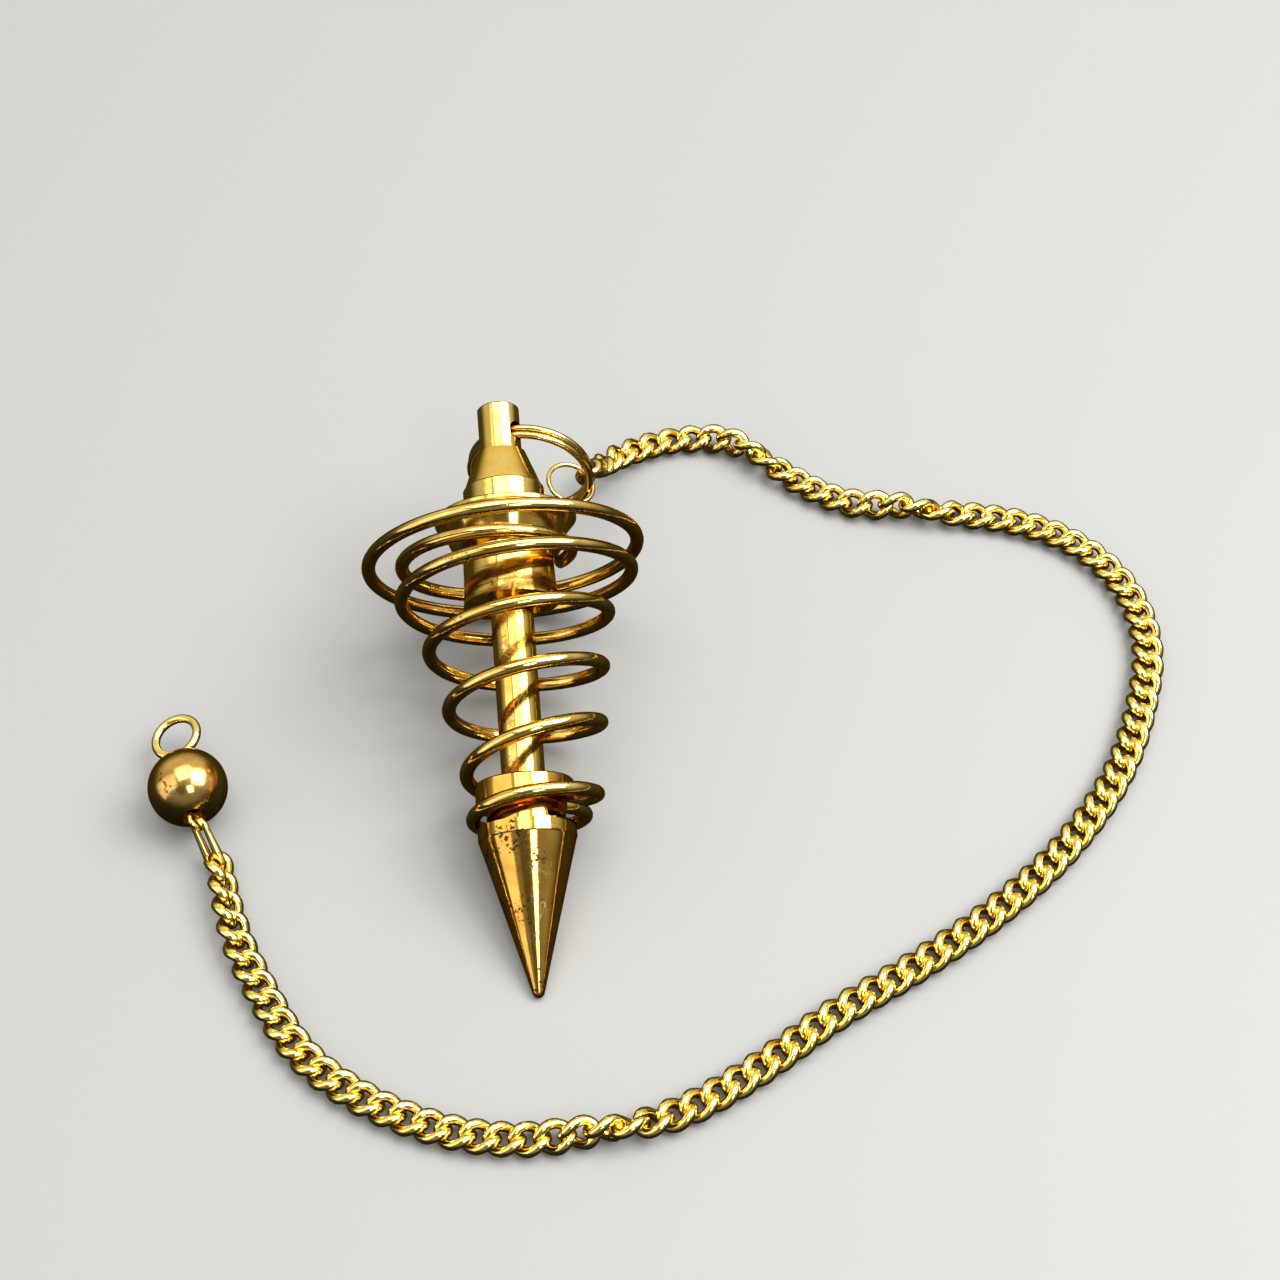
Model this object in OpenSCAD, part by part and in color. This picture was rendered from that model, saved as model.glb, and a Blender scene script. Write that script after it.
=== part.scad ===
// Pendulum pendant: a turned brass bob with a wire spiral, a split ring, a curb chain and a ball end.
// It lies on a flat surface at z = 0. The bob leans on its point and on the widest turn of the wire.
// Heights along the bob are measured from its point, in millimetres.

/* [Tip] */
// Height of the pointed cone
cone_h = 14.3; // [12:0.1:14.8]
// Diameter of the cone's shoulder and of the cap above it
shoulder_d = 9; // [8.8:0.1:9.2]
// Height of the cap above the cone
cap_h = 5.3; // [5.2:0.1:8]
// Radius of the rounded point
point_r = 0.55; // [0.3:0.05:0.8]
// Height of the groove's lower edge, where the wire starts
groove_base = 15.45; // [15.3:0.05:15.5]
// Height of the groove from edge to edge
groove_h = 1.9; // [1.8:0.05:2]
// Diameter of the bottom of the groove
groove_d = 7.2; // [6.4:0.1:7.2]

/* [Rod] */
// Diameter of the rod between the tip and the head
rod_d = 4; // [3:0.1:4.4]
// Depth of the socket that holds the rod at each end
socket_depth = 2.3; // [1.5:0.1:2.3]

/* [Head] */
// Height of the bell's underside
bell_base = 36.8; // [36:0.1:37.5]
// Diameter of the bell at its rim
bell_d = 8.9; // [8.4:0.1:9]
// Diameter of the neck that the wire closes round
neck_d = 8.5; // [8:0.1:8.5]
// Height of the flange's flat underside
flange_base = 42.1; // [42:0.1:43]
// Diameter of the flange at its rim
flange_d = 13.4; // [12.6:0.1:13.6]
// Diameter of the collar above the flange
collar_d = 7.7; // [6.6:0.1:8]
// Diameter of the taper at its small end
taper_d = 4.7; // [4.4:0.1:5.2]
// Diameter of the stem that carries the ring
stem_d = 4; // [3.6:0.1:4]
// Whole length of the bob, from point to stem
bob_length = 56.8; // [56:0.1:58]
// Diameter of the cross hole in the stem
hole_d = 1.9; // [1.9:0.05:2.1]
// Turn of the cross hole out of the level, seen along the bob
hole_slant = 31; // [25:1:35]

/* [Spiral] */
// Diameter of the spiral's wire
wire_d = 1.3; // [1:0.05:1.3]
// Rings in each turn of the wire
rings_per_turn = 24; // [16:2:24]
// Sides of the wire
wire_sides = 8; // [6:1:8]

/* [Pose on the surface] */
// Lean of the bob's axis above the surface
tilt = 17.8; // [17.7:0.05:18]
// Heading of the bob's axis, left of straight back
heading = 5.1; // [4:0.01:7]

/* [Rings] */
// Mean diameter of the split ring
split_ring_d = 11.6; // [11.2:0.1:12]
// Diameter of the split ring's wire
split_wire_d = 0.7; // [0.5:0.05:0.7]
// Distance between the two turns of the split ring
split_step = 0.85; // [0.8:0.01:0.87]
// Mean diameter of the jump ring
jump_ring_d = 4.6; // [4.5:0.1:4.8]
// Diameter of the jump ring's wire
jump_wire_d = 0.45; // [0.4:0.05:0.5]

/* [Chain] */
// Distance from one link to the next
link_pitch = 2.1; // [2.1:0.01:2.12]
// Length of a link, between the middles of its wire
link_l = 3.05; // [3:0.01:3.06]
// Width of a link, between the middles of its wire
link_w = 2.44; // [2.4:0.01:2.5]
// Diameter of a link's wire
link_wire_d = 0.58; // [0.4:0.01:0.58]
// Twist of a link from its middle to each end
link_twist = 50; // [48:1:52]
// Sides of a link, seen from above
link_sides = 10; // [8:1:10]
// Sides of a link's wire
link_wire_sides = 5; // [5:1:6]

/* [Ball end] */
// Diameter of the ball
ball_d = 7.3; // [7:0.1:7.4]
// Mean diameter of the ring on the ball
end_ring_d = 4.2; // [4:0.1:4.5]
// Diameter of the ring's wire
end_wire_d = 0.8; // [0.6:0.01:0.8]
// Length of the link from the ball to the chain, between the middles of its ends
ball_link_l = 5; // [4.95:0.05:5.1]

/* [Hidden] */
$fn = 64;

// Clearances
fit_gap = 0.05;
end_gap = 0.1;
edge = 0.15;
bell_recess = 0.4;
bell_wall = 0.9;

// Heights on the bob
cap_top = cone_h + cap_h;
flange_swell = 44.05;
flange_top = 45.5;
collar_top = 48.4;
stem_base = 52.05;
hole_height = 54;

// Middle of the whole piece on the surface, from under the point of the bob
middle = [11.5, 25.1];

// Wire of the spiral: at each turn, its distance from the bob's axis, its height on the bob,
// and how far the coil lies over to the right there
TURN = 0;
RADIUS = 1;
HEIGHT = 2;
LEAN = 3;
spiral_rows = [
    // turn, radius, height, lean
    [-0.15, 4.9, 16.2, 0.45],
    [0, 4.95, 16.2, 0.45],
    [0.25, 4.95, 16.2, 0.35],
    [0.5, 5.15, 16.3, 0.35],
    [0.75, 5.6, 17.35, 0.35],
    [1, 5.9, 18.1, 0.75],
    [1.5, 5.9, 20.45, 0.75],
    [2, 7, 24.8, 0.5],
    [2.5, 6.8, 26.7, 0.4],
    [3, 7.8, 30.2, 0.3],
    [3.5, 8, 32.4, 0.1],
    [4, 9, 35.5, 0],
    [4.5, 10.2, 37.4, 0],
    [5, 11.5, 39.6, 0],
    [5.5, 13.1, 40.9, 0],
    [6, 12.2, 42.1, 0],
    [6.5, 10, 41.3, 0],
    [6.75, 8.4, 41, 0],
    [7.05, 5.05, 41.3, 0]
];

// Middle line of the chain, from the jump ring to the ball, measured from under the bob's point.
// The first column, the way along the route, is added below.
route = [
    [3.9, 51.45, 10.05],
    [4, 52.7, 8.65],
    [4.05, 53.9, 7.25],
    [4.1, 55.35, 5.7],
    [4.4, 57, 4.25],
    [5.05, 58.65, 3.05],
    [6.1, 60.4, 2.15],
    [7.8, 61.9, 1.45],
    [10, 63.2, 1.05],
    [13, 64.1, 0.95],
    [17.4, 63.8, 0.95],
    [21.6, 61.2, 0.95],
    [26.5, 57.5, 0.95],
    [31, 55.2, 0.95],
    [36, 54.5, 0.95],
    [45.5, 53.4, 0.95],
    [50.2, 51.9, 0.95],
    [54.3, 49.1, 0.95],
    [57.3, 44.9, 0.95],
    [58.7, 39.5, 0.95],
    [58.2, 33.7, 0.95],
    [54.3, 23.1, 0.95],
    [48.2, 14.5, 0.95],
    [41, 7.7, 0.95],
    [33.4, 2.2, 0.95],
    [25.8, -2.6, 0.95],
    [18.7, -7.9, 0.95],
    [11.4, -12, 0.95],
    [3.5, -13.7, 0.95],
    [-4.6, -13.8, 0.95],
    [-12.6, -11.4, 0.95],
    [-19.9, -6.6, 0.95],
    [-25.2, 1.2, 0.95],
    [-27.4, 5.7, 0.95],
    [-29.6, 12.8, 0.95]
];

// Where along the chain it turns over, half a turn each time, and the length that each takes.
// At each end the first links are turned to suit what they hang in.
roll_places = [27.8, 46, 155.5];
roll_length = 16;
start_roll = -50;
end_roll = 56;

// Ball and its pin
ball_place = [-32.8, 19.3, ball_d / 2];
pin_heading = 18;
pin_dip = 5;
pin_roll = 16;
pin_d = 1;
pin_hole_d = pin_d + 2 * fit_gap;
end_ring_place = ball_d / 2 + end_ring_d / 2 + end_wire_d / 2 + fit_gap;
eye_d = 1.5;
eye_wire_d = 0.45;
eye_place = ball_d / 2 + 0.45;
eye_sink_d = 2.2;
eye_turn = 72;
ball_link_w = 1.6;
ball_link_wire_d = 0.58;
ball_link_top = [-31.35, 15.35, 4];
ball_link_end = [-29.55, 12.25, 0.9];
ball_link_side = [0.55, 0.4, -0.6];

// Directions of the bob as it lies: to the side, down and along its axis
side_dir = [cos(heading), sin(heading), 0];
down_dir = [-sin(heading) * sin(tilt), cos(heading) * sin(tilt), -cos(tilt)];
axis_dir = [-sin(heading) * cos(tilt), cos(heading) * cos(tilt), sin(tilt)];

// Place on the bob's axis at a height
function on_axis(height) = [0, 0, point_r] + (height - point_r) * axis_dir;

// Cross hole and the split ring that hangs in it, in an upright plane
hole_place = on_axis(hole_height);
hole_dir = cos(hole_slant) * side_dir - sin(hole_slant) * down_dir;
ring_heading = atan2(hole_dir.y, hole_dir.x);
ring_climb = asin(hole_dir.z);
ring_dir = [cos(ring_heading), sin(ring_heading), 0];
ring_lift = 0.18;
ring_drop = split_ring_d / 2 - ring_lift;
ring_place = hole_place + ring_drop * (sin(ring_climb) * ring_dir - [0, 0, cos(ring_climb)]);
split_joint = 215;
split_ramp = 22;
split_end = 28;

// Jump ring round the split ring's wire, standing square to the wire there
jump_angle = -20;
jump_spot = ring_place + split_ring_d / 2 * (cos(jump_angle) * ring_dir + [0, 0, sin(jump_angle)]);
jump_out = cos(jump_angle) * ring_dir + [0, 0, sin(jump_angle)];
jump_up = [0, 0, cos(jump_angle)] - sin(jump_angle) * ring_dir;
jump_shift = 1.6;
jump_place = jump_spot - jump_shift * jump_out;

// Vectors
function unit(v) = v / norm(v);

// Smooth curve through the rows of a table, at a value of the table's first column
function row_at(table, x, i = 0) =
    (i >= len(table) - 2 || x < table[i + 1][0]) ? i : row_at(table, x, i + 1);
function slope(table, i, column) =
    let (before = table[max(i - 1, 0)], after = table[min(i + 1, len(table) - 1)])
    (after[column] - before[column]) / (after[0] - before[0]);
function smooth(table, x, column) =
    let (i = row_at(table, x), step = table[i + 1][0] - table[i][0], u = (x - table[i][0]) / step)
    table[i][column] * (1 + 2 * u) * pow(1 - u, 2)
    + slope(table, i, column) * step * u * pow(1 - u, 2)
    + table[i + 1][column] * u * u * (3 - 2 * u)
    - slope(table, i + 1, column) * step * u * u * (1 - u);

// Running total of a list
function running(list, i = 0, total = 0) =
    i >= len(list) ? [] : concat([total + list[i]], running(list, i + 1, total + list[i]));

// Route with the straight distance along it as its first column
route_steps = [for (i = [0 : len(route) - 1]) i == 0 ? 0 : norm(route[i] - route[i - 1])];
route_sums = running(route_steps);
route_rows = [for (i = [0 : len(route) - 1]) concat([route_sums[i]], route[i])];
function route_point(x) = [smooth(route_rows, x, 1), smooth(route_rows, x, 2), smooth(route_rows, x, 3)];

// Table from the true length along the curved route to the first column above
route_samples = 600;
sample_keys = [for (i = [0 : route_samples]) route_sums[len(route) - 1] * i / route_samples];
sample_steps = [for (i = [0 : route_samples])
    i == 0 ? 0 : norm(route_point(sample_keys[i]) - route_point(sample_keys[i - 1]))];
sample_sums = running(sample_steps);
key_rows = [for (i = [0 : route_samples]) [sample_sums[i], sample_keys[i]]];
chain_length = sample_sums[route_samples];
link_count = floor(chain_length / link_pitch);
link_step = chain_length / link_count;
function chain_point(length) = route_point(lookup(length, key_rows)) + [0, 0, edge_lift(length)];

// Roll of the chain about its own line, and how much it stands higher while it is on edge
function ramp(x) = let (u = min(max(x, 0), 1)) u * u * (3 - 2 * u);
function chain_roll(length) =
    start_roll * (1 - ramp(length / roll_length))
    + 180 * sum_of([for (place = roll_places) ramp((length - place) / roll_length + 0.5)])
    + end_roll * ramp((length - chain_length) / roll_length + 1);
function sum_of(list) = running(list)[len(list) - 1];
flat_h = link_wire_d / 2 + 0.45;
edge_h = (link_w + link_wire_d) / 2;
function edge_lift(length) =
    norm([flat_h * cos(chain_roll(length)), edge_h * sin(chain_roll(length))]) - flat_h;

// Closed or open tube: rings of points round a line, given the line and a direction away from it
function ring_points(centre, along, out, r, sides) =
    let (w = unit(cross(along, out)), v = unit(cross(w, along)))
    [for (k = [0 : sides - 1]) centre + r * (cos(360 * k / sides) * v + sin(360 * k / sides) * w)];
function tube_faces(rings, sides, closed) = [
    for (i = [0 : rings - (closed ? 1 : 2)]) for (k = [0 : sides - 1])
        let (a = i * sides, b = ((i + 1) % rings) * sides, m = (k + 1) % sides)
        each [[a + k, b + k, a + m], [a + m, b + k, b + m]]
];
function tube_caps(rings, sides) = [
    [for (k = [0 : sides - 1]) k],
    [for (k = [sides - 1 : -1 : 0]) (rings - 1) * sides + k]
];

// Centre the whole piece on the surface
module centred() {
    translate([-middle.x, -middle.y, 0]) children();
}

// Lay the upright bob down on the surface, on its point
module laid() {
    centred()
        translate([0, 0, point_r])
            rotate([0, 0, heading])
                rotate([tilt - 90, 0, 0])
                    translate([0, 0, -point_r])
                        children();
}

// Solid of revolution about the bob's axis, from radius and height pairs
module turned(profile) {
    rotate_extrude() polygon(profile);
}

// Pointed cone with its grooved cap and the rod's socket
module tip() {
    half_angle = atan((shoulder_d / 2) / (cone_h - point_r))
        - asin(point_r / norm([shoulder_d / 2, cone_h - point_r]));
    shoulder_r = shoulder_d / 2;
    groove_r = groove_d / 2;
    color("darkgoldenrod")
        laid()
            difference() {
                union() {
                    translate([0, 0, point_r]) sphere(r = point_r);
                    turned([
                        [0, point_r * (1 - sin(half_angle))],
                        [point_r * cos(half_angle), point_r * (1 - sin(half_angle))],
                        [shoulder_r - edge / 2, cone_h - edge],
                        [shoulder_r, cone_h],
                        [shoulder_r, groove_base],
                        [groove_r, groove_base],
                        [groove_r, groove_base + groove_h],
                        [shoulder_r, groove_base + groove_h],
                        [shoulder_r, cap_top - edge],
                        [shoulder_r - edge, cap_top],
                        [0, cap_top]
                    ]);
                }
                translate([0, 0, cap_top - socket_depth])
                    cylinder(d = rod_d + 2 * fit_gap, h = socket_depth + 1);
            }
}

// Plain rod from the tip's socket to the head's socket
module rod() {
    rod_base = cap_top - socket_depth + end_gap;
    rod_top = bell_base + bell_recess + socket_depth - end_gap;
    color("goldenrod")
        laid()
            translate([0, 0, rod_base]) cylinder(d = rod_d, h = rod_top - rod_base);
}

// Bell, neck, flange, collar, taper and stem, turned in one piece, with the ring's cross hole
module head() {
    bell_r = bell_d / 2;
    neck_r = neck_d / 2;
    flange_r = flange_d / 2;
    collar_r = collar_d / 2;
    stem_r = stem_d / 2;
    color("goldenrod")
        laid()
            difference() {
                turned([
                    [0, bell_base + bell_recess],
                    [bell_r - bell_wall, bell_base + bell_recess],
                    [bell_r - bell_wall, bell_base],
                    [bell_r, bell_base],
                    [neck_r + 0.6 * (bell_r - neck_r), bell_base + 1],
                    [neck_r + 0.2 * (bell_r - neck_r), bell_base + 2.6],
                    [neck_r, bell_base + 4.2],
                    [neck_r, flange_base],
                    [neck_r + 0.8, flange_base],
                    [neck_r + 1.6, flange_swell],
                    [flange_r, flange_top - 0.45],
                    [flange_r, flange_top - edge],
                    [flange_r - edge, flange_top],
                    [collar_r, flange_top],
                    [collar_r, collar_top - edge],
                    [collar_r - edge, collar_top],
                    [taper_d / 2, stem_base],
                    [stem_r, stem_base],
                    [stem_r, bob_length - edge],
                    [stem_r - edge, bob_length],
                    [0, bob_length]
                ]);
                translate([0, 0, bell_base - 1])
                    cylinder(d = rod_d + 2 * fit_gap, h = bell_recess + socket_depth + 1);
                translate([0, 0, hole_height])
                    rotate([0, 0, -hole_slant])
                        rotate([0, 90, 0])
                            cylinder(d = hole_d, h = stem_d + 2, center = true);
            }
}

// Right-handed conical coil of round wire, from the tip's groove to the head's neck
module spiral() {
    first = spiral_rows[0][TURN];
    last = spiral_rows[len(spiral_rows) - 1][TURN];
    rings = ceil((last - first) * rings_per_turn) + 1;
    function coil_point(t) = [
        smooth(spiral_rows, t, RADIUS) * cos(360 * t) + smooth(spiral_rows, t, LEAN),
        smooth(spiral_rows, t, RADIUS) * sin(360 * t),
        smooth(spiral_rows, t, HEIGHT)
    ];
    turns = [for (i = [0 : rings - 1]) first + (last - first) * i / (rings - 1)];
    nudge = 0.01;
    color("gold")
        laid()
            polyhedron(
                points = [for (t = turns) each ring_points(
                    coil_point(t),
                    coil_point(min(t + nudge, last)) - coil_point(max(t - nudge, first)),
                    [cos(360 * t), sin(360 * t), 0],
                    wire_d / 2,
                    wire_sides
                )],
                faces = concat(tube_faces(rings, wire_sides, false), tube_caps(rings, wire_sides)),
                convexity = 12
            );
}

// Ring of two turns side by side, with a short crossing between them
module split_ring() {
    turns_of_wire = 2;
    sides = 6;
    rings = turns_of_wire * 24 + 1;
    function crossing(a) = ramp((a - 360) / (2 * split_ramp) + 0.5) - 0.5;
    angles = [for (i = [0 : rings - 1])
        split_end + (360 * turns_of_wire - 2 * split_end) * i / (rings - 1)];
    function wire_point(a) = [
        split_ring_d / 2 * cos(a),
        split_ring_d / 2 * sin(a),
        split_step * crossing(a)
    ];
    color("khaki")
        centred()
            translate(ring_place)
                rotate([0, 0, ring_heading])
                    rotate([90, 0, 0])
                        rotate([0, 0, split_joint])
                            polyhedron(
                                points = [for (a = angles) each ring_points(
                                    wire_point(a),
                                    wire_point(a + 1) - wire_point(a - 1),
                                    [cos(a), sin(a), 0],
                                    split_wire_d / 2,
                                    sides
                                )],
                                faces = concat(tube_faces(rings, sides, false), tube_caps(rings, sides)),
                                convexity = 8
                            );
}

// Put a shape at a place, with its x axis and its z axis along two square directions
module aimed(place, x_dir, z_dir) {
    x = unit(x_dir);
    z = unit(z_dir);
    y = cross(z, x);
    multmatrix([
        [x.x, y.x, z.x, place.x],
        [x.y, y.y, z.y, place.y],
        [x.z, y.z, z.z, place.z],
        [0, 0, 0, 1]
    ]) children();
}

// Round wire ring about the z axis
module wire_ring(d, wire) {
    rotate_extrude() translate([d / 2, 0]) circle(d = wire, $fn = 32);
}

// Small closed ring between the split ring and the chain
module jump_ring() {
    color("khaki")
        centred()
            aimed(jump_place, jump_out, jump_up)
                wire_ring(jump_ring_d, jump_wire_d);
}

// One twisted curb link as a closed tube round a place, aimed along the chain
module curb_link(place, along, roll) {
    x = unit(along);
    level = unit(cross([0, 0, 1], x));
    y = cos(roll) * level + sin(roll) * cross(x, level);
    z = cross(x, y);
    function link_point(a) =
        let (s = link_l / 2 * cos(a), w = link_w / 2 * sin(a), twist = -2 * link_twist * s / link_l)
        place + s * x + w * (cos(twist) * y + sin(twist) * z);
    nudge = 2;
    polyhedron(
        points = [for (i = [0 : link_sides - 1]) let (a = 360 * i / link_sides) each ring_points(
            link_point(a),
            link_point(a + nudge) - link_point(a - nudge),
            link_point(a) - place,
            link_wire_d / 2,
            link_wire_sides
        )],
        faces = tube_faces(link_sides, link_wire_sides, true),
        convexity = 4
    );
}

// Curb chain, laid link by link along its route
module chain() {
    color("gold")
        centred()
            for (i = [0 : link_count - 1]) {
                length = (i + 0.5) * link_step;
                before = chain_point(length - link_step / 2);
                after = chain_point(length + link_step / 2);
                curb_link((before + after) / 2, after - before, chain_roll(length));
            }
}

// Pin of the ball as it lies: its own y axis runs along the pin, towards the end ring
module along_pin() {
    centred()
        translate(ball_place)
            rotate([0, 0, pin_heading])
                rotate([-pin_dip, 0, 0])
                    rotate([0, -pin_roll, 0])
                        children();
}

// Drilled ball, sunk where the small eye sits
module ball() {
    color("peru")
        along_pin()
            difference() {
                sphere(d = ball_d);
                rotate([90, 0, 0]) cylinder(d = pin_hole_d, h = ball_d + 1, center = true);
                translate([0, -ball_d / 2 + 0.8, 0])
                    rotate([90, 0, 0]) cylinder(d = eye_sink_d, h = 2);
            }
}

// Pin through the ball, with the large end ring behind it and the small eye before it
module end_pin() {
    color("gold")
        along_pin()
            union() {
                translate([0, end_ring_place, 0]) wire_ring(end_ring_d, end_wire_d);
                translate([0, -eye_place, 0]) rotate([0, eye_turn, 0]) wire_ring(eye_d, eye_wire_d);
                translate([0, end_ring_place - end_ring_d / 2, 0])
                    rotate([90, 0, 0])
                        cylinder(d = 0.7 * end_wire_d, h = end_ring_place - end_ring_d / 2);
                translate([0, ball_d / 4, 0])
                    rotate([90, 0, 0]) cylinder(d = pin_d, h = ball_d / 2);
                rotate([90, 0, 0]) cylinder(d = 0.8 * eye_wire_d, h = eye_place - eye_d / 2);
            }
}

// Long link that joins the small eye to the chain
module ball_link() {
    straight = ball_link_l - ball_link_w;
    pull = ball_link_end - ball_link_top;
    across = cross(pull, ball_link_side);
    color("gold")
        centred()
            aimed((ball_link_top + ball_link_end) / 2, pull, cross(pull, across))
                for (turn = [0, 180])
                    rotate([0, 0, turn]) {
                        translate([straight / 2, 0, 0])
                            rotate([0, 0, -90])
                                rotate_extrude(angle = 180)
                                    translate([ball_link_w / 2, 0]) circle(d = ball_link_wire_d, $fn = 32);
                        translate([0, ball_link_w / 2, 0])
                            rotate([0, 90, 0])
                                cylinder(d = ball_link_wire_d, h = straight, center = true, $fn = 32);
                    }
}

tip();
rod();
head();
spiral();
split_ring();
jump_ring();
chain();
ball_link();
ball();
end_pin();
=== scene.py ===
# %% [markdown]
# # A brass pendulum pendant
# A turned brass bob with a wire spiral lies on a pale table. Its curb chain lies in a wide bend
# beside it, with a drilled ball at the far end.
# The solids come from CAD and are loaded as a fixed frame. Here they get their metal, and the
# spiral, the links and the split ring are drawn again round and smooth, because the CAD wires
# have flat sides. Blender counts in metres, and MM turns millimetres into them.

import math

import bmesh
import bpy
import numpy as np
from mathutils import Matrix, Vector


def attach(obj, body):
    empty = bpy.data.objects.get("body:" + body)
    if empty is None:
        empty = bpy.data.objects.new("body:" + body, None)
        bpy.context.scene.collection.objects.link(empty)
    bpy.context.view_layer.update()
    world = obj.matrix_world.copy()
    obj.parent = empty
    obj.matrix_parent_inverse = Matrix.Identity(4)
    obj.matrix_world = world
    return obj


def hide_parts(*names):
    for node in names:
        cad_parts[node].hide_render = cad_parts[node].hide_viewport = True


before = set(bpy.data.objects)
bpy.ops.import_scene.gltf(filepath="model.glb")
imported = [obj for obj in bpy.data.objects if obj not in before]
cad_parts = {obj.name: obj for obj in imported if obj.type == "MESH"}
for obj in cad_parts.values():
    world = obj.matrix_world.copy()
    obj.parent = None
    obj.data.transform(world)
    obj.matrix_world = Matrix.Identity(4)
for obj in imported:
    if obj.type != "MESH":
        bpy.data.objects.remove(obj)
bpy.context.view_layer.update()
MM = 0.001
print("CAD nodes:", sorted(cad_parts))

# %% [markdown]
# ## Camera
# The camera looks down at 54 degrees. Its place came from fitting a pinhole camera to the bob,
# the turns of wire and the chain. Its focal length is 2150 where the square frame is 1280 wide,
# both in pixels, and Blender wants it in the millimetres of a 36 mm sensor.
# The plain view transform keeps bright gold yellow. The film-like one that Blender starts with
# turns it to cream.

# %% Camera
FRAME_PIXELS = 1280
FOCAL_PIXELS = 2150
SENSOR = 36
CAMERA_PLACE = Vector((-2.56, -111.45, 172.22)) * MM
LOOKING_DOWN = 54

camera_data = bpy.data.cameras.new("camera")
camera_data.sensor_width = SENSOR
camera_data.lens = SENSOR * FOCAL_PIXELS / FRAME_PIXELS
camera_data.clip_start = 10 * MM
camera = bpy.data.objects.new("camera", camera_data)
camera.location = CAMERA_PLACE
camera.rotation_euler = (math.radians(90 - LOOKING_DOWN), 0, 0)
bpy.context.scene.collection.objects.link(camera)
bpy.context.scene.camera = camera
bpy.context.scene.view_settings.view_transform = "Standard"
print("lens", round(camera_data.lens, 1), "mm")

# %% [markdown]
# ## Colours and nodes
# Colours are written as the sRGB hex values that a paint program shows. Shaders count light
# linearly, so one function turns them: a straight piece near black, then a power.
# A second function adds a node, sets its values and joins its inputs, which keeps each material
# below to a few lines. An input goes by its name, with _ for a space, or by _ and its number.


# %% Helpers for materials
def linear(hex_colour):
    parts = [int(hex_colour[i : i + 2], 16) / 255 for i in (1, 3, 5)]
    return tuple(p / 12.92 if p <= 0.04045 else ((p + 0.055) / 1.055) ** 2.4 for p in parts) + (1,)


def add_node(tree, kind, settings=None, **inputs):
    node = tree.nodes.new(kind)
    for name, value in (settings or {}).items():
        setattr(node, name, value)
    for name, value in inputs.items():
        key = int(name[1:]) if name[1:].isdigit() else name.replace("_", " ")
        socket = node.inputs[key]
        if isinstance(value, bpy.types.NodeSocket):
            tree.links.new(value, socket)
        else:
            socket.default_value = value
    return node


# %% [markdown]
# ## Table
# The table is a plain pale sheet of matt laminate, pressed smooth. Its grain is too fine to show
# from here, so it is one even grey. To the eye it is soft and still, and the shadows on it tell
# what rests and what stands clear.
# Polished metal shows what stands round it, and without something dark to mirror it looks like
# plastic. So the table is left out of reflections, and the metal mirrors the dark lower half of
# the world there.

# %% Table
TABLE_SIZE = 8

sheet = bmesh.new()
bmesh.ops.create_grid(sheet, x_segments=1, y_segments=1, size=TABLE_SIZE / 2)
table_mesh = bpy.data.meshes.new("table")
sheet.to_mesh(table_mesh)
sheet.free()
table = bpy.data.objects.new("table", table_mesh)
table.visible_glossy = False
bpy.context.scene.collection.objects.link(table)

laminate = bpy.data.materials.new("matt laminate")
laminate.use_nodes = True
laminate_shader = laminate.node_tree.nodes["Principled BSDF"]
laminate_shader.inputs["Base Color"].default_value = linear("#888886")
laminate_shader.inputs["Roughness"].default_value = 0.6
table_mesh.materials.append(laminate)
print("table", TABLE_SIZE, "m wide")

# %% [markdown]
# ## Lights
# Four soft lights make the stripes. A bright panel high on the right gives the white line on the
# rod and on each turn of wire. A small lamp over the camera's right shoulder draws the thin line
# down the cone. A wide ceiling panel and a dim one on the left fill the rest with gold, and the
# gap between them leaves the dark stripe on the cone. Brightness is what a white card would show
# if it stood in the light's place, so each power follows from the panel's size.


# %% Lights
def soft_light(name, direction, distance, size, brightness):
    data = bpy.data.lights.new(name, "AREA")
    data.shape = "RECTANGLE"
    data.size, data.size_y = size
    data.energy = brightness * size[0] * size[1] * math.pi
    light = bpy.data.objects.new(name, data)
    light.location = Vector(direction).normalized() * distance
    light.rotation_euler = Vector(direction).to_track_quat("Z", "Y").to_euler()
    light.visible_camera = False
    bpy.context.scene.collection.objects.link(light)
    print(name, round(data.energy, 2), "W")


soft_light(
    "right panel", direction=(0.56, 0.1, 0.81), distance=0.7, size=(0.54, 0.44), brightness=11
)
soft_light(
    "lamp over the shoulder",
    direction=(0.28, -0.57, 0.77), distance=0.8, size=(0.17, 0.25), brightness=9,
)
soft_light(
    "ceiling panel", direction=(-0.08, 0.2, 0.97), distance=0.8, size=(0.6, 0.56), brightness=3.4
)
soft_light(
    "left panel", direction=(-0.8, -0.25, 0.55), distance=0.8, size=(0.62, 0.9), brightness=1.0
)

# %% [markdown]
# ## World
# The metal mirrors a studio that is dark below and a good deal lighter above, so each round piece
# is gold on top and falls off to dark edges. It is lighter behind the piece than over the camera.
# One dark patch over the camera, as a black card would make, keeps a dark stripe down the middle
# of the cone.
# A direction's Z tells how high it points and its Y how far behind the piece. The card's soft
# edge is given by the cosine of the angle from its middle.
# Only mirrored light comes from this studio. All else is lit by a plain pale room, so the table
# stays pale far away too.

# %% World
ROOM = 1.0
WALL_FOOT, WALL_TOP = -0.15, 0.5
DARK_BELOW, LIGHT_ABOVE = 0.06, 0.7
FRONT, BACK = -0.5, 0.7
DIM_IN_FRONT, BRIGHT_BEHIND = 0.4, 1.4
CARD = tuple(Vector((-0.1, -0.63, 0.77)).normalized())
CARD_RIM, CARD_CORE = 0.955, 0.985
CARD_SHARE = 0.45

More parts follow.
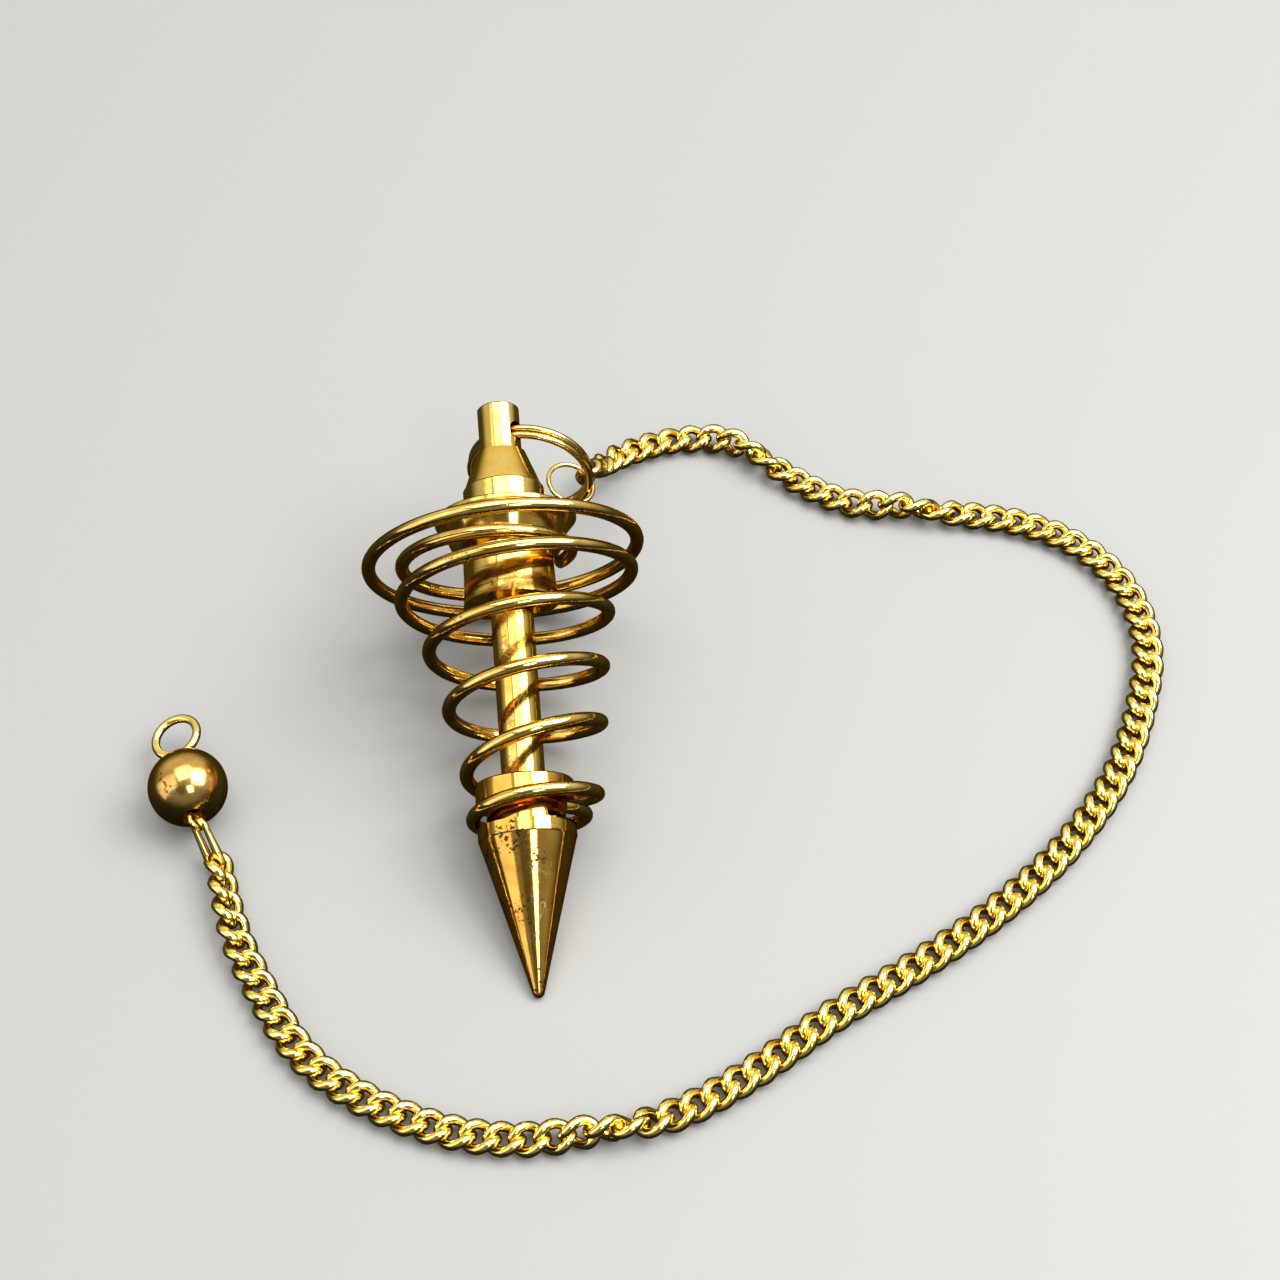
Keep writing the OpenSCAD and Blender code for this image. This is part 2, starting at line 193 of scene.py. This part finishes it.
world = bpy.data.worlds.new("studio")
world.use_nodes = True
sky = world.node_tree
direction = add_node(sky, "ShaderNodeTexCoord").outputs["Generated"]
parts = add_node(sky, "ShaderNodeSeparateXYZ", Vector=direction)
height = add_node(
    sky, "ShaderNodeMapRange", {"interpolation_type": "SMOOTHSTEP"},
    Value=parts.outputs["Z"], From_Min=WALL_FOOT, From_Max=WALL_TOP,
    To_Min=DARK_BELOW, To_Max=LIGHT_ABOVE,
).outputs["Result"]
behind = add_node(
    sky, "ShaderNodeMapRange",
    Value=parts.outputs["Y"], From_Min=FRONT, From_Max=BACK,
    To_Min=DIM_IN_FRONT, To_Max=BRIGHT_BEHIND,
).outputs["Result"]
wall = add_node(
    sky, "ShaderNodeMath", {"operation": "MULTIPLY"}, _0=height, _1=behind
).outputs[0]
to_card = add_node(
    sky, "ShaderNodeVectorMath", {"operation": "DOT_PRODUCT"}, _0=direction, _1=CARD
).outputs["Value"]
card = add_node(
    sky, "ShaderNodeMapRange", {"interpolation_type": "SMOOTHSTEP"},
    Value=to_card, From_Min=CARD_RIM, From_Max=CARD_CORE, To_Min=1.0, To_Max=CARD_SHARE,
).outputs["Result"]
mirrored = add_node(
    sky, "ShaderNodeMath", {"operation": "MULTIPLY"}, _0=wall, _1=card
).outputs[0]
in_mirror = add_node(sky, "ShaderNodeLightPath").outputs["Is Glossy Ray"]
strength = add_node(
    sky, "ShaderNodeMix", {"data_type": "FLOAT"}, _0=in_mirror, _2=ROOM, _3=mirrored
).outputs[0]
sky.links.new(strength, sky.nodes["Background"].inputs["Strength"])
sky.nodes["Background"].inputs["Color"].default_value = linear("#EFEEEA")
bpy.context.scene.world = world
print("world nodes:", len(sky.nodes))

# %% [markdown]
# ## Wires
# Each wire on the real piece is drawn brass, bent round a former. The simplest way to draw one
# in Blender is a curve with a round bevel: the curve is the middle line, and the bevel is half
# the wire's thickness. It is turned into a mesh at the end, so it can be shaded and measured as
# any other piece. Blender counts a bevel's sides from four, and each step of its resolution adds
# two. Where a wire steps aside or grows thin, it eases from one end of the change to the other.


# %% Draw a wire
def eased(share):
    u = min(max(share, 0), 1)
    return u * u * (3 - 2 * u)


def wire_mesh(name, line, radius, sides, closed, shares=None):
    curve = bpy.data.curves.new(name, "CURVE")
    curve.dimensions = "3D"
    curve.bevel_depth = radius
    curve.bevel_resolution = (sides - 4) // 2
    curve.use_fill_caps = not closed
    curve.twist_mode = "MINIMUM"
    spline = curve.splines.new("POLY")
    spline.points.add(len(line) - 1)
    spline.points.foreach_set("co", [v for point in line for v in (*point, 1)])
    if shares:
        spline.points.foreach_set("radius", shares)
    spline.use_cyclic_u = closed
    holder = bpy.data.objects.new(name, curve)
    bpy.context.scene.collection.objects.link(holder)
    evaluated = holder.evaluated_get(bpy.context.evaluated_depsgraph_get())
    mesh = bpy.data.meshes.new_from_object(evaluated)
    bpy.data.objects.remove(holder)
    bpy.data.curves.remove(curve)
    return mesh


def finish_piece(name, mesh, metal, node):
    mesh.name = name
    mesh.materials.clear()
    mesh.materials.append(metal)
    mesh.shade_smooth()
    piece = bpy.data.objects.new(name, mesh)
    bpy.context.scene.collection.objects.link(piece)
    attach(piece, "root")
    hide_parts(node)
    mesh.calc_loop_triangles()
    print(name, len(mesh.loop_triangles), "triangles")


# %% [markdown]
# ## Where the bob lies
# The bob was drawn upright in CAD and then laid on its point and its widest turn of wire.
# One matrix says the same thing here: stand the rounded point on its centre, lean the axis,
# turn it to its heading and move it from the point of the bob to the middle of the whole piece.

# %% Lay the bob down
POINT_R = 0.55 * MM
TILT = math.radians(17.8)
HEADING = math.radians(5.1)
MIDDLE = Vector((11.5, 25.1, 0)) * MM

laid = (
    Matrix.Translation(Vector((0, 0, POINT_R)) - MIDDLE)
    @ Matrix.Rotation(HEADING, 4, "Z")
    @ Matrix.Rotation(TILT - math.pi / 2, 4, "X")
    @ Matrix.Translation((0, 0, -POINT_R))
)
print("the bob's axis:", [round(v, 2) for v in laid.col[2].xyz])

# %% [markdown]
# ## Brass
# Brass is copper and zinc: yellow, with a green cast where it is dark, and metallic all through.
# A polished one is nearly a mirror. What tells it from a perfect one is small: a colour that
# wanders, the marks of the tool and the cloth, dark specks where the lacquer has failed, and
# hair-thin scratches. Each is one group of nodes below, with its real size in millimetres, and
# the finishes differ only in how much of each they have.
# The first group is the colour: it wanders between two shades, and the polish wanders with it.
# A noise stays near its middle, so the range that is used of it is narrow.

# %% Colour that wanders
CLOUD_SIZE = 2.4
COLOUR_RANGE = {"From_Min": 0.35, "From_Max": 0.68}
POLISH_RANGE = {"From_Min": 0.3, "From_Max": 0.7}
SMOOTHEST, ROUGHEST = 0.75, 1.4


def per_mm(size):
    return 1 / (size * MM)


def clouded(tree, here, light, deep, roughness):
    cloud = add_node(
        tree, "ShaderNodeTexNoise", Vector=here, Scale=per_mm(CLOUD_SIZE), Detail=3.0
    ).outputs["Fac"]
    wander = add_node(
        tree, "ShaderNodeMapRange", Value=cloud, **COLOUR_RANGE
    ).outputs["Result"]
    colour = add_node(
        tree, "ShaderNodeMix", {"data_type": "RGBA"},
        Factor=wander, _6=linear(light), _7=linear(deep),
    ).outputs[2]
    rough = add_node(
        tree, "ShaderNodeMapRange", Value=cloud, **POLISH_RANGE,
        To_Min=roughness * SMOOTHEST, To_Max=roughness * ROUGHEST,
    ).outputs["Result"]
    return colour, rough


# %% [markdown]
# Painted shade: where a face looks down, a dark brown is mixed into its colour in place of the
# shade that falls there. How far a face looks up is the Z part of its normal, so that number mixes
# the painted shade in.

# %% Painted shade on undersides
UNDERSIDE_SHADE_COLOUR = "#5A4718"
UNSHADED_ABOVE, FULL_SHADE_BELOW = 0.45, -0.35


def painted_underside_shade(tree, facing, colour, underside_shade):
    # Painted shade: the more a face looks down, the more dark brown goes into its colour.
    up = add_node(tree, "ShaderNodeSeparateXYZ", Vector=facing).outputs["Z"]
    shade_amount = add_node(
        tree, "ShaderNodeMapRange", {"interpolation_type": "SMOOTHSTEP"},
        Value=up, From_Min=UNSHADED_ABOVE, From_Max=FULL_SHADE_BELOW, To_Min=0.0, To_Max=underside_shade,
    ).outputs["Result"]
    return add_node(
        tree, "ShaderNodeMix", {"data_type": "RGBA"},
        Factor=shade_amount, _6=colour, _7=linear(UNDERSIDE_SHADE_COLOUR),
    ).outputs[2]


# %% [markdown]
# Tarnish starts as specks in loose groups. One noise has the size of the specks and another the
# size of the groups. Where both are high, their product passes a threshold and a speck shows,
# darker and rougher than the metal.

# %% Tarnish specks
TARNISH = "#33230D"
GROUP_SIZE = 3.2
SPECK_RIM, SPECK_CORE = 0.335, 0.375
SPECK_ROUGHNESS = 0.35


def specked(tree, here, colour, rough, specks, speck_size):
    grain = add_node(
        tree, "ShaderNodeTexNoise",
        Vector=here, Scale=per_mm(speck_size * 2), Detail=3.0, Roughness=0.55,
    ).outputs["Fac"]
    group = add_node(
        tree, "ShaderNodeTexNoise", Vector=here, Scale=per_mm(GROUP_SIZE), Detail=2.0
    ).outputs["Fac"]
    both = add_node(
        tree, "ShaderNodeMath", {"operation": "MULTIPLY"}, _0=grain, _1=group
    ).outputs[0]
    speck = add_node(
        tree, "ShaderNodeMapRange", {"interpolation_type": "SMOOTHSTEP"},
        Value=both, From_Min=SPECK_RIM, From_Max=SPECK_CORE, To_Min=0.0, To_Max=specks,
    ).outputs["Result"]
    colour = add_node(
        tree, "ShaderNodeMix", {"data_type": "RGBA"},
        Factor=speck, _6=colour, _7=linear(TARNISH),
    ).outputs[2]
    rough = add_node(
        tree, "ShaderNodeMath", {"operation": "MULTIPLY_ADD"},
        _0=speck, _1=SPECK_ROUGHNESS, _2=rough,
    ).outputs[0]
    return colour, rough


# %% [markdown]
# A scratch is a thin curved line. A slow noise crosses its middle value along just such lines,
# so a scratch is drawn where the noise is that value. A second noise keeps only some of them.

# %% Hair-thin scratches
SCRATCH_LIGHT = "#FFF0B0"
SCRATCH_SIZE = 1.8
SCRATCH_STRETCH = (1.0, 0.35, 0.7)
SCRATCH_TURN = (0.4, 0.3, 0.9)
SCRATCH_WIDTH = 0.002
PATCH_SIZE = 2.1
PATCH_RIM, PATCH_CORE = 0.52, 0.6
SCRATCH_ROUGHNESS = 0.5


def scratched(tree, here, colour, rough, scratches):
    stretched = add_node(
        tree, "ShaderNodeMapping", Vector=here, Scale=SCRATCH_STRETCH, Rotation=SCRATCH_TURN
    ).outputs["Vector"]
    swirl = add_node(
        tree, "ShaderNodeTexNoise",
        Vector=stretched, Scale=per_mm(SCRATCH_SIZE), Detail=1.0, Distortion=0.6,
    ).outputs["Fac"]
    line = add_node(
        tree, "ShaderNodeMath", {"operation": "COMPARE"}, _0=swirl, _1=0.5, _2=SCRATCH_WIDTH
    ).outputs[0]
    patch = add_node(
        tree, "ShaderNodeTexNoise", Vector=here, Scale=per_mm(PATCH_SIZE), Detail=0.0
    ).outputs["Fac"]
    kept = add_node(
        tree, "ShaderNodeMapRange", Value=patch, From_Min=PATCH_RIM, From_Max=PATCH_CORE
    ).outputs["Result"]
    scratch = add_node(
        tree, "ShaderNodeMath", {"operation": "MULTIPLY"}, _0=line, _1=kept
    ).outputs[0]
    amount = add_node(
        tree, "ShaderNodeMath", {"operation": "MULTIPLY"}, _0=scratch, _1=scratches
    ).outputs[0]
    rough = add_node(
        tree, "ShaderNodeMath", {"operation": "MULTIPLY_ADD"},
        _0=amount, _1=SCRATCH_ROUGHNESS, _2=rough,
    ).outputs[0]
    colour = add_node(
        tree, "ShaderNodeMix", {"data_type": "RGBA"},
        Factor=amount, _6=colour, _7=linear(SCRATCH_LIGHT),
    ).outputs[2]
    return colour, rough


# %% [markdown]
# Tool marks are a noise that is long one way and short the other. Marks that run round the bob
# are long across its axis, and marks that run down it are long along the axis, so the pattern
# is turned to the axis first. The axis leans, as the bob does.
# Pits and ripples are left by bending and wear. They have no direction.

# %% Tool marks and pits
TO_AXIS = laid.to_3x3().inverted().to_euler()
MARKS_ROUND_IT = (per_mm(8), per_mm(8), per_mm(0.22))
MARKS_DOWN_IT = (per_mm(0.25), per_mm(0.25), per_mm(9))


def marked(tree, here, marks, depth):
    turned_to = add_node(
        tree, "ShaderNodeMapping", Vector=here, Rotation=TO_AXIS
    ).outputs["Vector"]
    drawn_out = add_node(
        tree, "ShaderNodeMapping", Vector=turned_to, Scale=marks
    ).outputs["Vector"]
    lines = add_node(
        tree, "ShaderNodeTexNoise", Vector=drawn_out, Scale=1.0, Detail=2.0
    ).outputs["Fac"]
    return add_node(
        tree, "ShaderNodeBump", Strength=1.0, Distance=depth * MM, Height=lines
    ).outputs["Normal"]


def pitted(tree, here, depth, size, **over):
    dents = add_node(
        tree, "ShaderNodeTexNoise",
        Vector=here, Scale=per_mm(size), Detail=3.0, Roughness=0.6,
    ).outputs["Fac"]
    return add_node(
        tree, "ShaderNodeBump", Strength=1.0, Distance=depth * MM, Height=dents, **over
    ).outputs["Normal"]


# %% [markdown]
# One function puts the groups together. Each number says how much of a group a finish has, and
# the depths and sizes are in millimetres. The tint of the metal's edge is golden too, because a
# reflection turns white at the rim of a metal without one.


# %% Brass
def brass(
    name, light, deep, rim, roughness, pits,
    pit_size=0.5, marks=None, mark_depth=0.0, specks=0.0, speck_size=0.16,
    scratches=0.0, underside_shade=0.0,
):
    metal = bpy.data.materials.new(name)
    metal.use_nodes = True
    tree = metal.node_tree
    tree.nodes.clear()
    place = add_node(tree, "ShaderNodeTexCoord")
    here = place.outputs["Object"]
    colour, rough = clouded(tree, here, light, deep, roughness)
    # Painted shade on the faces that look down, as much as the finish's underside number asks for.
    colour = painted_underside_shade(tree, place.outputs["Normal"], colour, underside_shade)
    if specks:
        colour, rough = specked(tree, here, colour, rough, specks, speck_size)
    if scratches:
        colour, rough = scratched(tree, here, colour, rough, scratches)
    over = {"Normal": marked(tree, here, marks, mark_depth)} if marks else {}
    shader = add_node(
        tree, "ShaderNodeBsdfPrincipled",
        Metallic=1.0, Specular_Tint=linear(rim), Base_Color=colour, Roughness=rough,
        Normal=pitted(tree, here, pits, pit_size, **over),
    )
    add_node(tree, "ShaderNodeOutputMaterial", Surface=shader.outputs["BSDF"])
    print(name, len(tree.nodes), "nodes")
    return metal


# %% [markdown]
# ## The finishes
# The bob is cut from bar on a lathe and polished. The spiral and the rings are bent from drawn
# wire. The chain and the pin are brass with a thin plating of gold, and the ball is the oldest
# surface of all. Each comment says what the finish gives the eye.

# %% Finishes of the bob
# Fine rings from the lathe blur the highlights a little round the piece. To the eye the head is
# smooth and bright, but cut and not cast.
turned_head = brass(
    "turned and polished brass", "#FFDA76", "#F4C254", "#ECC868", 0.1, pits=0.003,
    marks=MARKS_ROUND_IT, mark_depth=0.0022, specks=0.3, scratches=0.3, underside_shade=0.35,
)
# The cone is the best mirror of the piece, with crisp stripes. Brown specks and a few scratches
# on it tell the eye that it is old and handled.
turned_tip = brass(
    "turned brass, polished, with tarnish specks", "#FAC85E", "#E4A644", "#D8A84C", 0.09,
    pits=0.003, marks=MARKS_DOWN_IT, mark_depth=0.001, specks=0.95, scratches=0.35,
    underside_shade=0.4,
)
# Marks from the die run along the rod and stretch each highlight that way.
drawn_rod = brass(
    "drawn brass rod", "#FFD56C", "#F0BA4C", "#ECC464", 0.11, pits=0.004,
    marks=MARKS_DOWN_IT, mark_depth=0.002, specks=0.3, scratches=0.35, underside_shade=0.35,
)

# %% Finishes of the wires, the chain and the ball
# Bending leaves shallow ripples, so the white line on each turn wanders. The painted shade on the
# underside gives each turn a dark edge and makes the wire look round.
bright_wire = brass(
    "drawn brass wire, bent and polished", "#FFDE80", "#E8B854", "#E4BE60", 0.08, pits=0.012,
    pit_size=0.6, specks=0.5, speck_size=0.2, scratches=0.3, underside_shade=0.62,
)
# Paler and softer than the spiral, which sets the small rings off from it.
ring_wire = brass(
    "pale brass ring wire", "#FCE28C", "#E6C068", "#F0D080", 0.14, pits=0.006,
    specks=0.4, underside_shade=0.5,
)
# Thin plating rounds every edge. It looks lemon yellow, and the links sparkle because each one
# mirrors another part of the room.
gilt = brass(
    "gold-plated brass chain", "#FFE88E", "#F6D470", "#F6DA80", 0.14, pits=0.008,
    pit_size=0.4, underside_shade=0.45,
)
# Worn down to brown in clouds, specked and scratched: the ball looks like old bronze, with a
# soft highlight.
aged = brass(
    "aged polished brass", "#F0C46E", "#C4924A", "#C8A05C", 0.16, pits=0.012,
    pit_size=0.45, specks=0.7, speck_size=0.22, scratches=0.5, underside_shade=0.6,
)

# %% [markdown]
# ## Metal for the CAD solids
# The turned pieces, the ball with its pin and the jump ring have the right shape in CAD, so they
# stay, and only their metal is new.

# %% Metal for the CAD solids
for node, metal in {
    "tip": turned_tip,
    "rod": drawn_rod,
    "head": turned_head,
    "ball": aged,
    "end_pin": gilt,
    "jump_ring": ring_wire,
}.items():
    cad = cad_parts[node]
    cad.data.materials.clear()
    cad.data.materials.append(metal)
    print(node, "is", metal.name)

# %% [markdown]
# ## Spiral
# The spiral is one right-handed coil. It starts in the tip's groove, widens over five and a half
# turns and closes round the head's neck. Its path is the table of the part's source: at each
# turn, the distance from the axis, the height and how far the coil leans to the right.
# A cubic curve through the rows gives the same line that the CAD wire follows.

# %% Coil path
COIL = [
    (-0.15, 4.9, 16.2, 0.45),
    (0, 4.95, 16.2, 0.45),
    (0.25, 4.95, 16.2, 0.35),
    (0.5, 5.15, 16.3, 0.35),
    (0.75, 5.6, 17.35, 0.35),
    (1, 5.9, 18.1, 0.75),
    (1.5, 5.9, 20.45, 0.75),
    (2, 7, 24.8, 0.5),
    (2.5, 6.8, 26.7, 0.4),
    (3, 7.8, 30.2, 0.3),
    (3.5, 8, 32.4, 0.1),
    (4, 9, 35.5, 0),
    (4.5, 10.2, 37.4, 0),
    (5, 11.5, 39.6, 0),
    (5.5, 13.1, 40.9, 0),
    (6, 12.2, 42.1, 0),
    (6.5, 10, 41.3, 0),
    (6.75, 8.4, 41, 0),
    (7.05, 5.05, 41.3, 0),
]


def slope(table, i, column):
    before, after = table[max(i - 1, 0)], table[min(i + 1, len(table) - 1)]
    return (after[column] - before[column]) / (after[0] - before[0])


def smooth(table, x, column):
    i = max(k for k in range(len(table) - 1) if k == 0 or table[k][0] <= x)
    step = table[i + 1][0] - table[i][0]
    u = (x - table[i][0]) / step
    return (
        table[i][column] * (1 + 2 * u) * (1 - u) ** 2
        + slope(table, i, column) * step * u * (1 - u) ** 2
        + table[i + 1][column] * u * u * (3 - 2 * u)
        - slope(table, i + 1, column) * step * u * u * (1 - u)
    )


def coil_point(turn):
    radius, height, lean = (smooth(COIL, turn, column) for column in (1, 2, 3))
    angle = 2 * math.pi * turn
    upright = Vector((radius * math.cos(angle) + lean, radius * math.sin(angle), height))
    return laid @ (upright * MM)


# %% Draw the spiral
WIRE_D = 1.3 * MM
WIRE_SIDES = 14
POINTS_PER_TURN = 72

first, last = COIL[0][0], COIL[-1][0]
steps = round((last - first) * POINTS_PER_TURN)
coil = [coil_point(first + (last - first) * i / steps) for i in range(steps + 1)]
finish_piece(
    "spiral_wire",
    wire_mesh("spiral", coil, WIRE_D / 2, WIRE_SIDES, closed=False),
    bright_wire,
    "spiral",
)

# %% [markdown]
# ## Chain
# A curb chain is made of oval links that are each twisted, so that the chain lies flat. The CAD
# chain holds one coarse solid for each link, and a fine link takes the place of each. A link is
# longest along the chain and next widest across it, so the spread of a solid's corners gives its
# three directions, and no list of places is needed here.
# A solid is found by starting at any corner and following edges until no new corner turns up.

# %% Find the CAD links
SAME_CORNER = 1e-6


def loose_solids(node):
    mesh = bmesh.new()
    mesh.from_mesh(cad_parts[node].data)
    bmesh.ops.remove_doubles(mesh, verts=mesh.verts, dist=SAME_CORNER)
    seen, solids = set(), []
    for start in mesh.verts:
        if start in seen:
            continue
        seen.add(start)
        group = [start]
        for vertex in group:
            for edge in vertex.link_edges:
                other = edge.other_vert(vertex)
                if other not in seen:
                    seen.add(other)
                    group.append(other)
        solids.append(np.array([tuple(v.co) for v in group]))
    mesh.free()
    return solids


def link_frame(corners):
    centre = corners.mean(0)
    _, directions = np.linalg.eigh(np.cov((corners - centre).T))
    along, across = Vector(directions[:, 2]), Vector(directions[:, 1])
    turned_to = Matrix((along, across, along.cross(across))).transposed().to_4x4()
    return Matrix.Translation(Vector(centre)) @ turned_to


link_frames = [link_frame(corners) for corners in loose_solids("chain")]
print("links:", len(link_frames))

# %% [markdown]
# The wire here is as thick as on the real chain. The CAD links need thinner wire, to stay apart,
# so the fine links are lifted by a hair to lie on the table and not in it.

# %% Draw a link and set it in each place
LINK_L = 2.9 * MM
LINK_W = 2.25 * MM
LINK_WIRE_D = 0.94 * MM
LINK_TWIST = math.radians(-50)
LINK_LIFT = Matrix.Translation((0, 0, 0.13 * MM))
LINK_POINTS = 28
LINK_WIRE_SIDES = 8


def link_point(angle):
    x = LINK_L / 2 * math.cos(angle)
    reach = LINK_W / 2 * math.sin(angle)
    twist = 2 * LINK_TWIST * x / LINK_L
    return Vector((x, reach * math.cos(twist), reach * math.sin(twist)))


loop = [link_point(2 * math.pi * i / LINK_POINTS) for i in range(LINK_POINTS)]
one_link = wire_mesh("link", loop, LINK_WIRE_D / 2, LINK_WIRE_SIDES, closed=True)
chain = bmesh.new()
for place in link_frames:
    before = len(chain.verts)
    chain.from_mesh(one_link)
    chain.verts.ensure_lookup_table()
    bmesh.ops.transform(chain, matrix=LINK_LIFT @ place, verts=chain.verts[before:])
chain_mesh = bpy.data.meshes.new("chain")
chain.to_mesh(chain_mesh)
chain.free()
finish_piece("curb_chain", chain_mesh, gilt, "chain")

# %% [markdown]
# ## Link before the ball
# A longer, plain link joins the last curb link to the ball's eye. It is a stadium: two half
# circles and two straight sides. Its wire is thinner where the eye holds it, as if filed there,
# so the curve's own radius changes along it. Its place again comes from the spread of the CAD
# link's corners, and its thin end is the higher one.

# %% Draw the link before the ball
BALL_LINK_L = 5 * MM
BALL_LINK_W = 1.4 * MM
BALL_LINK_WIRE_D = 0.9 * MM
BALL_LINK_SIDES = 12
THIN_SHARE = 0.72
THINNING_RATE = 1.6
END_STEPS = 14
SIDE_STEPS = 12

link_place = link_frame(loose_solids("ball_link")[0])
uphill = 1 if link_place.col[0].z > 0 else -1
end_r = BALL_LINK_W / 2
straight = (BALL_LINK_L - BALL_LINK_W) / 2
outline = []
for end in (1, -1):
    for i in range(END_STEPS + 1):
        angle = math.pi * (i / END_STEPS - 0.5)
        x, y = straight + end_r * math.cos(angle), end_r * math.sin(angle)
        outline.append((end * x, end * y))
    for i in range(1, SIDE_STEPS):
        outline.append((end * straight * (1 - 2 * i / SIDE_STEPS), end * end_r))
loop = [link_place @ Vector((x, y, 0)) for x, y in outline]


def wire_share(x):
    return THIN_SHARE + (1 - THIN_SHARE) * eased(0.5 - THINNING_RATE * uphill * x / BALL_LINK_L)


shares = [wire_share(x) for x, y in outline]
finish_piece(
    "long_link",
    wire_mesh("long", loop, BALL_LINK_WIRE_D / 2, BALL_LINK_SIDES, True, shares),
    gilt,
    "ball_link",
)

# %% [markdown]
# ## Split ring
# The ring through the stem is a key ring in small: two turns of wire side by side, with a short
# crossing where the wire steps from one turn to the other. It hangs in the stem's cross hole and
# leans as the hole does, so its place follows from the hole's height and slant. It is raised a
# little from the hole's middle, which keeps both turns clear of the hole's edges.

# %% Place the split ring in the cross hole
SPLIT_D = 11.6 * MM
HOLE_HEIGHT = 54 * MM
HOLE_SLANT = math.radians(31)
RING_LIFT = 0.18 * MM
JOINT_TURN = math.radians(215)

hole = laid @ Vector((0, 0, HOLE_HEIGHT))
upright_dir = Vector((math.cos(HOLE_SLANT), -math.sin(HOLE_SLANT), 0))
hole_dir = (laid.to_3x3() @ upright_dir).normalized()
ring_heading = math.atan2(hole_dir.y, hole_dir.x)
ring_dir = Vector((math.cos(ring_heading), math.sin(ring_heading), 0))
climb = math.asin(hole_dir.z)
ring_place = hole + (SPLIT_D / 2 - RING_LIFT) * (
    math.sin(climb) * ring_dir - Vector((0, 0, math.cos(climb)))
)
ring_frame = (
    Matrix.Translation(ring_place)
    @ Matrix.Rotation(ring_heading, 4, "Z")
    @ Matrix.Rotation(math.pi / 2, 4, "X")
    @ Matrix.Rotation(JOINT_TURN, 4, "Z")
)
print("middle of the split ring:", [round(v / MM, 1) for v in ring_place], "mm")

# %% Draw the split ring
SPLIT_WIRE_D = 0.7 * MM
SPLIT_WIRE_SIDES = 8
SPLIT_STEP = 0.85 * MM
CROSSING = math.radians(44)
CUT_BACK = math.radians(28)
RING_STEPS = 180


def ring_point(angle):
    side = SPLIT_STEP * (eased((angle - 2 * math.pi) / CROSSING + 0.5) - 0.5)
    x, y = SPLIT_D / 2 * math.cos(angle), SPLIT_D / 2 * math.sin(angle)
    return ring_frame @ Vector((x, y, side))


ring_span = 4 * math.pi - 2 * CUT_BACK
two_turns = [ring_point(CUT_BACK + ring_span * i / RING_STEPS) for i in range(RING_STEPS + 1)]
finish_piece(
    "split_ring_wire",
    wire_mesh("split", two_turns, SPLIT_WIRE_D / 2, SPLIT_WIRE_SIDES, closed=False),
    ring_wire,
    "split_ring",
)
